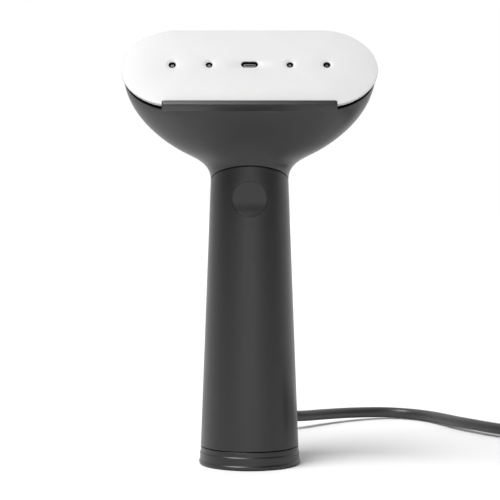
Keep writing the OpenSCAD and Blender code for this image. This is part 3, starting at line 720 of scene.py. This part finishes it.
def coil_point(angle):
    """A place on the coil by the angle run: inwards below, up at the middle, outwards above."""
    inward = sum(eased(angle, start) for start in INWARD_SHIFTS)
    outward = sum(eased(angle, start) for start in OUTWARD_SHIFTS)
    r = COIL_R + COIL_PITCH * (outward - inward)
    a = math.radians(angle)
    z = COIL_Z + COIL_PITCH * eased(angle, RISE)
    return (COIL_XY[0] + r * math.cos(a), COIL_XY[1] + r * math.sin(a), z)


def smooth_path(points, steps):
    """A Catmull-Rom curve through the points."""
    p = np.array(points, float)
    path = []
    last = len(p) - 1
    for i in range(last):
        a, b, c, d = p[max(i - 1, 0)], p[i], p[i + 1], p[min(i + 2, last)]
        for t in np.arange(steps) / steps:
            path.append(0.5 * (2 * b + (c - a) * t + (2 * a - 5 * b + 4 * c - d) * t ** 2
                               + (3 * b - a - 3 * c + d) * t ** 3))
    return path + [p[last]]


def mains_cord():
    """The whole cord, as one curve with a round section."""
    coil = [coil_point(a) for a in range(COIL_ENTRY, COIL_LEAVE + 1, COIL_STEP)]
    path = smooth_path([CORD_START] + CORD_ROUTE + coil + TAIL_ROUTE, 4)
    curve = bpy.data.curves.new("mains_cord", "CURVE")
    curve.dimensions = "3D"
    curve.bevel_depth = CORD_R * MM
    curve.bevel_resolution = 6
    curve.use_fill_caps = True
    spline = curve.splines.new("POLY")
    spline.points.add(len(path) - 1)
    for point, place in zip(spline.points, path):
        point.co = (*(place * MM), 1)
    spline.use_smooth = True
    curve.materials.append(finishes["cord"])
    piece = bpy.data.objects.new("mains_cord", curve)
    bpy.context.scene.collection.objects.link(piece)
    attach(piece, "handle")
    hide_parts("cord_lead", "cord_coil", "cord_tail")
    return piece


def cord_boot():
    """The tapered strain relief, cut into bending ribs."""
    bm = bmesh.new()
    profile = [(0, 18.4), (6.2, 18.4, 0.2), (6.2, 20), (5, 20), (5, 23.8), (5.8, 23.8, 0.2),
               (5.8, 25.6, 0.5)]
    ribs, first, pitch = 10, 26.4, 3.05
    for k in range(ribs):
        y = first + k * pitch
        r = 5.2 - 1.6 * (y - first) / (58 - first)
        profile += [(r - 0.75, y, 0.2), (r - 0.8, y + 0.9, 0.2), (r, y + 0.9, 0.25),
                    (r - 0.1, y + pitch, 0.25)]
    profile += [(3.6, 57.2), (3.6, 58, 0.25), (0, 58)]
    add_rings(bm, lathe(rounded(profile, 3), axis="y", centre=(0, 0, CORD_EXIT_Z), count=64))
    return make_piece("cord_boot", bm, "strain_relief")


def bundle_ties():
    """Two straps that hold the coil's turns together."""
    bm = bmesh.new()
    outside = rounded([(20.15, 0.02, 2), (45.55, 0.02, 2), (45.55, 13.15, 2), (20.15, 13.15, 2)])
    inside = rounded([(20.7, 0.6, 1.4), (45, 0.6, 1.4), (45, 12.6, 1.4), (20.7, 12.6, 1.4)])
    for middle in TIE_ANGLES:
        rings = []
        for loop, spread in ((outside, 8.4), (outside, -8.4), (inside, -9), (inside, 9)):
            a = math.radians(middle + spread)
            rings.append(np.array([(COIL_XY[0] + r * math.cos(a), COIL_XY[1] + r * math.sin(a), z)
                                   for r, z in loop]))
        across = fillet(rings[0], (rings[0] + rings[1]) / 2, rings[1], 8)
        add_rings(bm, across + rings[2:], closed=True)
    return make_piece("bundle_ties", bm, "cord_ties")


def plug_shell():
    """The plug's moulded body, with grip rings, a ribbed boot and grooves for the earth clips."""
    bm = bmesh.new()
    profile = [(0, -12), (18.3, -12, 0.8), (18.3, 0.5, 0.3), (17.9, 1.2, 0.3), (18.4, 1.9, 0.3),
               (18.4, 4.2, 1.4), (12.1, 13, 3), (9.5, 21, 4), (8.5, 27, 1), (5.6, 27, 0.3)]
    for k in range(5):
        y = 28.2 + 2.9 * k
        r = 5.4 - 0.15 * (y - 27)
        profile += [(r - 0.6, y, 0.15), (r - 0.6, y + 0.8, 0.15), (r, y + 0.8, 0.15),
                    (r, y + 2.9, 0.15)]
    profile += [(3.6, 43.5), (3.6, 45, 0.3), (0, 45)]
    add_rings(bm, lathe(rounded(profile, 3), axis="y", centre=(PLUG_X, 0, PLUG_Z)))
    piece = make_piece("plug_shell", bm, "plug_body")
    cutter = groove_cutter()
    cut = piece.modifiers.new("grooves", "BOOLEAN")
    cut.object = cutter
    cut.solver = "EXACT"
    depsgraph = bpy.context.evaluated_depsgraph_get()
    shaped = bpy.data.meshes.new_from_object(piece.evaluated_get(depsgraph))
    piece.modifiers.clear()
    piece.data = shaped
    shaped.set_sharp_from_angle(angle=math.radians(CRISP))
    bpy.data.objects.remove(cutter)
    return piece


def groove_cutter():
    """Two blocks in the shape of the plug's earth grooves."""
    bm = bmesh.new()
    for low, high in ((16.4, 22), (-22, -16.4)):
        corners = [(-3.4, -16), (3.4, -16), (3.4, 3), (-3.4, 3)]
        rings = [[(PLUG_X + x, y, PLUG_Z + z) for x, y in corners] for z in (low, high)]
        rows = add_rings(bm, rings)
        bm.faces.new(rows[0])
        bm.faces.new(rows[1])
    bmesh.ops.recalc_face_normals(bm, faces=bm.faces)
    bmesh.ops.scale(bm, vec=(MM, MM, MM), verts=bm.verts)
    mesh = bpy.data.meshes.new("groove_cutter")
    bm.to_mesh(mesh)
    bm.free()
    cutter = bpy.data.objects.new("groove_cutter", mesh)
    bpy.context.scene.collection.objects.link(cutter)
    bpy.context.view_layer.update()
    return cutter


def plug_prongs():
    """The plug's two round pins, with rounded tips."""
    bm = bmesh.new()
    profile = rounded([(0, -12), (2.4, -12), (2.4, -31, 1.6), (0, -31)])
    for side in (-1, 1):
        centre = (PLUG_X + side * PIN_SPREAD, 0, PLUG_Z)
        add_rings(bm, lathe(profile, axis="y", centre=centre, count=40))
    return make_piece("plug_prongs", bm, "plug_pins")


# --- Materials ------------------------------------------------------------------------------
def new_material(name):
    """A material, its node tree and its shader."""
    material = bpy.data.materials.new(name)
    material.use_nodes = True
    nodes = material.node_tree.nodes
    return material, nodes, material.node_tree.links, nodes["Principled BSDF"]


def noise(nodes, links, scale, detail=3.0, stretch=(1, 1, 1)):
    """Noise in the object's own metres, by its scale per metre."""
    place = nodes.new("ShaderNodeTexCoord")
    mapping = nodes.new("ShaderNodeMapping")
    mapping.inputs["Scale"].default_value = stretch
    texture = nodes.new("ShaderNodeTexNoise")
    texture.inputs["Scale"].default_value = scale
    texture.inputs["Detail"].default_value = detail
    links.new(place.outputs["Object"], mapping.inputs["Vector"])
    links.new(mapping.outputs["Vector"], texture.inputs["Vector"])
    return texture.outputs["Fac"]


def spread(nodes, links, value, low, high, start=0.3, end=0.7):
    """A noise value taken to a range."""
    node = nodes.new("ShaderNodeMapRange")
    node.inputs["From Min"].default_value = start
    node.inputs["From Max"].default_value = end
    node.inputs["To Min"].default_value = low
    node.inputs["To Max"].default_value = high
    links.new(value, node.inputs["Value"])
    return node.outputs["Result"]


def blended(nodes, links, a, b, factor):
    """Two colours, each a socket or a value, mixed by a factor."""
    mix = nodes.new("ShaderNodeMix")
    mix.data_type = "RGBA"
    for socket, colour in ((mix.inputs["A"], a), (mix.inputs["B"], b)):
        if isinstance(colour, tuple):
            socket.default_value = (*colour, 1)
        else:
            links.new(colour, socket)
    links.new(factor, mix.inputs["Factor"])
    return mix.outputs["Result"]


def shaded(nodes, links, colour, share, factor):
    """A colour that gets darker and lighter by a share with a factor from 0 to 1."""
    dark = tuple(c * (1 - share) for c in colour)
    light = tuple(min(1, c * (1 + share)) for c in colour)
    return blended(nodes, links, dark, light, factor)


def bumped(nodes, links, shader, height, depth, strength):
    """Gives a shader a bump, its depth in millimetres."""
    bump = nodes.new("ShaderNodeBump")
    bump.inputs["Distance"].default_value = depth * MM
    bump.inputs["Strength"].default_value = strength
    links.new(height, bump.inputs["Height"])
    links.new(bump.outputs["Normal"], shader.inputs["Normal"])


def edge_wear(nodes, links, colour, worn, amount):
    """The colour, rubbed towards another along sharp convex edges."""
    geometry = nodes.new("ShaderNodeNewGeometry")
    factor = spread(nodes, links, geometry.outputs["Pointiness"], 0, amount, 0.53, 0.6)
    return blended(nodes, links, colour, worn, factor)


def moulded(name, colour, roughness, grain=0.012, share=0.06, worn=None, sheen=0.0, specular=0.5):
    """Moulded plastic or rubber: a spark-eroded grain, patchy gloss and slightly rubbed edges."""
    material, nodes, links, shader = new_material(name)
    patches = noise(nodes, links, 45, 4)
    links.new(spread(nodes, links, patches, roughness - 0.03, roughness + 0.03),
              shader.inputs["Roughness"])
    tone = shaded(nodes, links, colour, share, spread(nodes, links, noise(nodes, links, 160, 5), 0, 1))
    worn = worn or tuple(min(1, 1.5 * c + 0.01) for c in colour)
    links.new(edge_wear(nodes, links, tone, worn, 0.35), shader.inputs["Base Color"])
    bumped(nodes, links, shader, noise(nodes, links, 2600, 2), grain, 0.5)
    shader.inputs["Specular IOR Level"].default_value = specular
    shader.inputs["Sheen Weight"].default_value = sheen
    return material


def along(nodes, links, direction, start):
    """How far a point of the object lies along a direction from a start, in metres."""
    place = nodes.new("ShaderNodeTexCoord")
    dot = nodes.new("ShaderNodeVectorMath")
    dot.operation = "DOT_PRODUCT"
    dot.inputs[1].default_value = direction
    links.new(place.outputs["Object"], dot.inputs[0])
    shift = nodes.new("ShaderNodeMath")
    shift.operation = "SUBTRACT"
    shift.inputs[1].default_value = start
    links.new(dot.outputs["Value"], shift.inputs[0])
    return shift.outputs["Value"]


def product(nodes, links, a, b):
    node = nodes.new("ShaderNodeMath")
    node.operation = "MULTIPLY"
    links.new(a, node.inputs[0])
    links.new(b, node.inputs[1])
    return node.outputs["Value"]


def within(nodes, links, value, reach):
    """1 where a value is nearer to zero than a reach, otherwise 0."""
    node = nodes.new("ShaderNodeMath")
    node.operation = "COMPARE"
    node.inputs[1].default_value = 0
    node.inputs[2].default_value = reach
    links.new(value, node.inputs[0])
    return node.outputs["Value"]


def coated_plate():
    """White ceramic coating, faintly mottled, and bare metal down inside the drilled holes, coloured
    near black as painted shade and lighter at the jet tips as a painted highlight.
    """
    material, nodes, links, shader = new_material("ceramic_coating")
    outward, upward = plate_move(0, 1), plate_move(1, 0)
    centre = np.array((0, *plate_yz(HOLE_V, 0))) * MM
    face, row = float(centre @ outward), float(centre @ upward)
    depth = along(nodes, links, outward, face)
    holes = product(nodes, links,
                    within(nodes, links, along(nodes, links, upward, row), HOLES_REACH[1] * MM),
                    within(nodes, links, along(nodes, links, (1, 0, 0), 0), HOLES_REACH[0] * MM))
    below_coat = spread(nodes, links, depth, 1, 0, COAT_W * MM, -0.5 * MM)
    bare = product(nodes, links, holes, below_coat)
    # Painted highlight: the metal at the jet tips is coloured lighter, for the light caught there.
    jet_tip_painted_highlight = within(nodes, links, along(nodes, links, outward, face + JET_W * MM), 0.2 * MM)
    mottle = spread(nodes, links, noise(nodes, links, 60, 5), 0, 1)
    white = shaded(nodes, links, PLATE_COLOUR, 0.012, mottle)
    # Painted shade: the bare metal in the holes is coloured near black, darker than the metal is, for
    # the shade down in the holes.
    hole_metal_painted_shade = blended(nodes, links, (0.05, 0.05, 0.052), (0.12, 0.12, 0.12), jet_tip_painted_highlight)
    links.new(blended(nodes, links, white, hole_metal_painted_shade, bare), shader.inputs["Base Color"])
    links.new(bare, shader.inputs["Metallic"])
    links.new(spread(nodes, links, noise(nodes, links, 30, 3), 0.34, 0.42), shader.inputs["Roughness"])
    bumped(nodes, links, shader, noise(nodes, links, 420, 2), 0.006, 0.35)
    return material


def metal(name, colour, roughness, stretch=(1, 1, 14), scratch=0.01):
    """Bare metal with drawn or turned lines along one axis."""
    material, nodes, links, shader = new_material(name)
    lines = noise(nodes, links, 900, 3, stretch)
    links.new(spread(nodes, links, lines, roughness - 0.08, roughness + 0.1), shader.inputs["Roughness"])
    stains = spread(nodes, links, noise(nodes, links, 120, 4), 0, 1)
    links.new(shaded(nodes, links, colour, 0.05, stains), shader.inputs["Base Color"])
    bumped(nodes, links, shader, lines, scratch, 0.4)
    shader.inputs["Metallic"].default_value = 1
    return material


def clear_plastic(name, tint, roughness, clearness):
    """Clear or smoked plastic, with faint flow marks."""
    material, nodes, links, shader = new_material(name)
    flow = noise(nodes, links, 50, 2, (1, 1, 0.25))
    links.new(spread(nodes, links, flow, roughness, roughness + 0.06), shader.inputs["Roughness"])
    links.new(shaded(nodes, links, tint, 0.03, flow), shader.inputs["Base Color"])
    bumped(nodes, links, shader, flow, 0.02, 0.3)
    shader.inputs["Transmission Weight"].default_value = clearness
    shader.inputs["IOR"].default_value = 1.49
    return material


def circuit_board():
    """Green solder mask over copper tracks."""
    material, nodes, links, shader = new_material("solder_mask")
    place = nodes.new("ShaderNodeTexCoord")
    tracks = nodes.new("ShaderNodeTexVoronoi")
    tracks.distance = "CHEBYCHEV"
    tracks.feature = "F2"
    tracks.inputs["Scale"].default_value = 380
    links.new(place.outputs["Object"], tracks.inputs["Vector"])
    raised = spread(nodes, links, tracks.outputs["Distance"], 0, 1, 0.5, 0.55)
    mask = blended(nodes, links, (0.01, 0.09, 0.035), (0.03, 0.2, 0.07), raised)
    links.new(mask, shader.inputs["Base Color"])
    links.new(spread(nodes, links, noise(nodes, links, 300), 0.25, 0.35), shader.inputs["Roughness"])
    bumped(nodes, links, shader, raised, 0.03, 0.5)
    return material


def make_finishes():
    """One material for each slot of the record, and for the plate's seal a near-black rubber without
    gloss, painted shade for its gap.
    """
    return {
        "shell": moulded("charcoal_plastic", SHELL_COLOUR, 0.34, worn=(0.05, 0.05, 0.052)),
        "plate": coated_plate(),
        "soft_black": moulded("black_rubber", (0.012, 0.012, 0.012), 0.62, grain=0.03, sheen=0.1),
        # The seal's rubber is darkened to near black with no gloss: painted shade for the gap it sits
        # in.
        "seal_painted_shade": moulded("seal_rubber_painted_shade", (0.003, 0.003, 0.003), 0.75, grain=0.03,
                              worn=(0.004, 0.004, 0.004), specular=0),
        "boiler": metal("cast_aluminium", (0.6, 0.6, 0.61), 0.45, (1, 1, 1), 0.05),
        "steel": metal("steel", (0.56, 0.56, 0.57), 0.3),
        "nickel": metal("nickel", (0.72, 0.7, 0.66), 0.2, (1, 12, 1), 0.004),
        "brass": metal("turned_brass", (0.72, 0.5, 0.2), 0.28),
        "frame": moulded("natural_nylon", (0.72, 0.72, 0.69), 0.5),
        "mica": moulded("pressed_mica", (0.6, 0.52, 0.38), 0.4, grain=0.05, share=0.2),
        "hose": moulded("silicone", (0.68, 0.68, 0.66), 0.35, sheen=0.1),
        "pump": moulded("filled_plastic", (0.02, 0.02, 0.022), 0.5, grain=0.03),
        "switch": moulded("gloss_black", (0.01, 0.01, 0.01), 0.25),
        "board": circuit_board(),
        "light": clear_plastic("frosted_clear", (0.85, 0.87, 0.9), 0.35, 0.6),
        "tank": clear_plastic("smoked_clear", (0.62, 0.66, 0.7), 0.06, 0.9),
        "live": moulded("brown_insulation", (0.14, 0.05, 0.02), 0.4),
        "neutral": moulded("blue_insulation", (0.02, 0.07, 0.32), 0.4),
        "earth": moulded("green_insulation", (0.06, 0.26, 0.04), 0.4),
        "lead_red": moulded("red_insulation", (0.38, 0.02, 0.012), 0.45),
        "cord": moulded("cord_sheath", CORD_COLOUR, 0.38, grain=0.02, worn=(0.06, 0.06, 0.06)),
    }


def finish_cad_nodes():
    """Gives every CAD node the finish of its slot."""
    for name, node in frame["nodes"].items():
        for material_slot in node.material_slots:
            material_slot.material = finishes[node_slot[name]]


# --- Stage, light and camera ----------------------------------------------------------------
def add_floor():
    """A plain floor. It moves with the tank, so that the tank shows when it is drawn out."""
    bm = bmesh.new()
    bmesh.ops.create_grid(bm, x_segments=8, y_segments=8, size=FLOOR_HALF)
    mesh = bpy.data.meshes.new("floor")
    bm.to_mesh(mesh)
    bm.free()
    material, nodes, links, shader = new_material("floor_paint")
    mottle = spread(nodes, links, noise(nodes, links, 8), 0, 1)
    links.new(shaded(nodes, links, FLOOR_COLOUR, 0.004, mottle), shader.inputs["Base Color"])
    shader.inputs["Roughness"].default_value = 0.9
    shader.inputs["Specular IOR Level"].default_value = 0
    mesh.materials.append(material)
    floor = bpy.data.objects.new("floor", mesh)
    bpy.context.scene.collection.objects.link(floor)
    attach(floor, "tank")


def room_glow(nodes, links):
    """How bright the room is in a direction, by how far that direction points away from the camera."""
    place = nodes.new("ShaderNodeTexCoord")
    part = nodes.new("ShaderNodeSeparateXYZ")
    links.new(place.outputs["Generated"], part.inputs["Vector"])
    ramp = nodes.new("ShaderNodeValToRGB")
    first, last = ramp.color_ramp.elements
    for element, (position, level) in zip((first, last), (ROOM_LEVELS[0], ROOM_LEVELS[-1])):
        element.position = position
        element.color = (level, level, level, 1)
    for position, level in ROOM_LEVELS[1:-1]:
        element = ramp.color_ramp.elements.new(position)
        element.color = (level, level, level, 1)
    links.new(spread(nodes, links, part.outputs["Y"], 0, 1, -1, 1), ramp.inputs["Fac"])
    return ramp.outputs["Color"]


def add_room():
    """A white surround for the camera, and a soft graded one for light and reflections."""
    world = bpy.data.worlds.new("room")
    world.use_nodes = True
    nodes, links = world.node_tree.nodes, world.node_tree.links
    graded = nodes["Background"]
    links.new(room_glow(nodes, links), graded.inputs["Color"])
    white = nodes.new("ShaderNodeBackground")
    white.inputs["Color"].default_value = (1, 1, 1, 1)
    rays = nodes.new("ShaderNodeLightPath")
    mix = nodes.new("ShaderNodeMixShader")
    links.new(rays.outputs["Is Camera Ray"], mix.inputs["Fac"])
    links.new(graded.outputs["Background"], mix.inputs[1])
    links.new(white.outputs["Background"], mix.inputs[2])
    links.new(mix.outputs["Shader"], nodes["World Output"].inputs["Surface"])
    bpy.context.scene.world = world


def add_key():
    """A far, broad light from the upper left, in front."""
    data = bpy.data.lights.new("key", "SUN")
    data.angle = KEY_SPREAD
    data.energy = KEY_LEVEL
    light = bpy.data.objects.new("key", data)
    light.location = KEY_FROM
    light.rotation_euler = (-Vector(KEY_FROM)).to_track_quat("-Z", "Y").to_euler()
    bpy.context.scene.collection.objects.link(light)


def add_camera():
    data = bpy.data.cameras.new("camera")
    data.sensor_width = 36
    data.lens = CAMERA_LENS
    camera = bpy.data.objects.new("camera", data)
    camera.location = CAMERA_PLACE
    camera.rotation_euler = (math.radians(90 - CAMERA_DIP), 0, 0)
    bpy.context.scene.collection.objects.link(camera)
    bpy.context.scene.camera = camera


# --- The scene ------------------------------------------------------------------------------
bpy.context.scene.view_settings.view_transform = "Standard"
add_camera()
add_floor()
add_room()
add_key()
finishes.update(make_finishes())
finish_cad_nodes()

cord = mains_cord()
boot = cord_boot()
ties = bundle_ties()
plug = plug_shell()
prongs = plug_prongs()

grip_shell()
head_shell()
plate_body()
plate_gasket()
lip_strip()
trigger()
power_key()
light_window()
base_cover()
foot_rubber()
